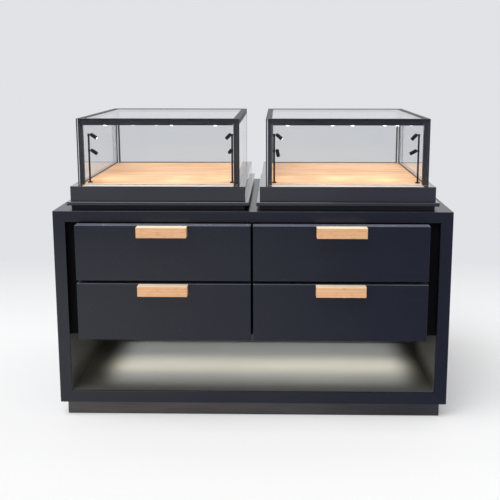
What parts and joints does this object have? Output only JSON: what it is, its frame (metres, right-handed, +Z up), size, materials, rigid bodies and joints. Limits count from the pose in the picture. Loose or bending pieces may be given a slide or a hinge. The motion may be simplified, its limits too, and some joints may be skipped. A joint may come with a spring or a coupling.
{
  "type": "jewelry display cabinet",
  "caption": "Free-standing lacquered cabinet with oak-handled drawers, a lit open niche on a recessed plinth, and lift-off glass vitrines with tilting spot lights on top.",
  "frame": {"origin": "on the floor, under the middle of the overall box", "axes": "+X to the right along the cabinet's width, +Y to the back, +Z up; the drawers face -Y"},
  "size_m": [1.2, 0.7778, 0.9235],
  "materials": {
    "lacquer": "satin",
    "inner_board": "matte",
    "bronze": "satin",
    "oak": "satin",
    "anthracite": "satin",
    "glass": "polished",
    "black_steel": "satin",
    "led": "matte",
    "grey_plastic": "matte"
  },
  "bodies": {
    "cabinet": {"plinth": "bronze", "bottom_panel": "lacquer", "left_side_panel": "lacquer", "right_side_panel": "lacquer", "top_panel": "lacquer", "rear_panel": "lacquer", "niche_liner": "bronze", "drawer_shelf": "inner_board", "drawer_divider": "inner_board", "left_runner_board": "inner_board", "right_runner_board": "inner_board", "niche_led_strip": "led", "led_driver": "grey_plastic", "left_vitrine_foot": "anthracite", "left_vitrine_flange": "anthracite", "left_vitrine_base": "anthracite", "left_vitrine_deck": "oak", "left_outer_spot_post": "black_steel", "left_inner_spot_post": "black_steel", "right_vitrine_foot": "anthracite", "right_vitrine_flange": "anthracite", "right_vitrine_base": "anthracite", "right_vitrine_deck": "oak", "right_outer_spot_post": "black_steel", "right_inner_spot_post": "black_steel"},
    "upper_left_drawer": {"upper_left_drawer_front": "lacquer", "upper_left_drawer_handle": "oak", "upper_left_drawer_box": "oak"},
    "upper_right_drawer": {"upper_right_drawer_front": "lacquer", "upper_right_drawer_handle": "oak", "upper_right_drawer_box": "oak"},
    "lower_left_drawer": {"lower_left_drawer_front": "lacquer", "lower_left_drawer_handle": "oak", "lower_left_drawer_box": "oak"},
    "lower_right_drawer": {"lower_right_drawer_front": "lacquer", "lower_right_drawer_handle": "oak", "lower_right_drawer_box": "oak"},
    "left_hood": {"left_hood_frame": "black_steel", "left_hood_front_pane": "glass", "left_hood_back_pane": "glass", "left_hood_left_pane": "glass", "left_hood_right_pane": "glass", "left_hood_top_pane": "glass", "left_hood_led_bar": "led"},
    "right_hood": {"right_hood_frame": "black_steel", "right_hood_front_pane": "glass", "right_hood_back_pane": "glass", "right_hood_left_pane": "glass", "right_hood_right_pane": "glass", "right_hood_top_pane": "glass", "right_hood_led_bar": "led"},
    "left_outer_upper_spot": {"left_outer_upper_spot_head": "black_steel"},
    "left_outer_lower_spot": {"left_outer_lower_spot_head": "black_steel"},
    "left_inner_upper_spot": {"left_inner_upper_spot_head": "black_steel"},
    "left_inner_lower_spot": {"left_inner_lower_spot_head": "black_steel"},
    "right_inner_upper_spot": {"right_inner_upper_spot_head": "black_steel"},
    "right_inner_lower_spot": {"right_inner_lower_spot_head": "black_steel"},
    "right_outer_upper_spot": {"right_outer_upper_spot_head": "black_steel"},
    "right_outer_lower_spot": {"right_outer_lower_spot_head": "black_steel"}
  },
  "joints": [
    {"name": "upper_left_drawer_slide", "type": "slide", "parent": "cabinet", "child": "upper_left_drawer", "axis": [0, -1, 0], "range_m": [0, 0.4]},
    {"name": "upper_right_drawer_slide", "type": "slide", "parent": "cabinet", "child": "upper_right_drawer", "axis": [0, -1, 0], "range_m": [0, 0.4]},
    {"name": "lower_left_drawer_slide", "type": "slide", "parent": "cabinet", "child": "lower_left_drawer", "axis": [0, -1, 0], "range_m": [0, 0.4]},
    {"name": "lower_right_drawer_slide", "type": "slide", "parent": "cabinet", "child": "lower_right_drawer", "axis": [0, -1, 0], "range_m": [0, 0.4]},
    {"name": "left_hood_lift", "type": "slide", "parent": "cabinet", "child": "left_hood", "axis": [0, 0, 1], "range_m": [0, 0.25]},
    {"name": "right_hood_lift", "type": "slide", "parent": "cabinet", "child": "right_hood", "axis": [0, 0, 1], "range_m": [0, 0.25]},
    {"name": "left_outer_upper_spot_tilt", "type": "hinge", "parent": "cabinet", "child": "left_outer_upper_spot", "pos_m": [-0.4996, -0.2051, 0.8705], "axis": [0, 1, 0], "range_deg": [-53, 49]},
    {"name": "left_outer_lower_spot_tilt", "type": "hinge", "parent": "cabinet", "child": "left_outer_lower_spot", "pos_m": [-0.4996, -0.2051, 0.822], "axis": [0, 1, 0], "range_deg": [-53, 49]},
    {"name": "left_inner_upper_spot_tilt", "type": "hinge", "parent": "cabinet", "child": "left_inner_upper_spot", "pos_m": [-0.0722, -0.19906, 0.8705], "axis": [-0.6428, -0.766, 0], "range_deg": [-60, 42]},
    {"name": "left_inner_lower_spot_tilt", "type": "hinge", "parent": "cabinet", "child": "left_inner_lower_spot", "pos_m": [-0.06852, -0.19638, 0.822], "axis": [-0.9272, -0.3746, 0], "range_deg": [-45, 57]},
    {"name": "right_inner_upper_spot_tilt", "type": "hinge", "parent": "cabinet", "child": "right_inner_upper_spot", "pos_m": [0.0744, -0.2051, 0.8705], "axis": [0, 1, 0], "range_deg": [-61, 41]},
    {"name": "right_inner_lower_spot_tilt", "type": "hinge", "parent": "cabinet", "child": "right_inner_lower_spot", "pos_m": [0.0744, -0.2051, 0.822], "axis": [0, 1, 0], "range_deg": [-98, 4]},
    {"name": "right_outer_upper_spot_tilt", "type": "hinge", "parent": "cabinet", "child": "right_outer_upper_spot", "pos_m": [0.4996, -0.2051, 0.8705], "axis": [0, -1, 0], "range_deg": [-67, 35]},
    {"name": "right_outer_lower_spot_tilt", "type": "hinge", "parent": "cabinet", "child": "right_outer_lower_spot", "pos_m": [0.4996, -0.2051, 0.822], "axis": [0, -1, 0], "range_deg": [-48, 54]}
  ]
}
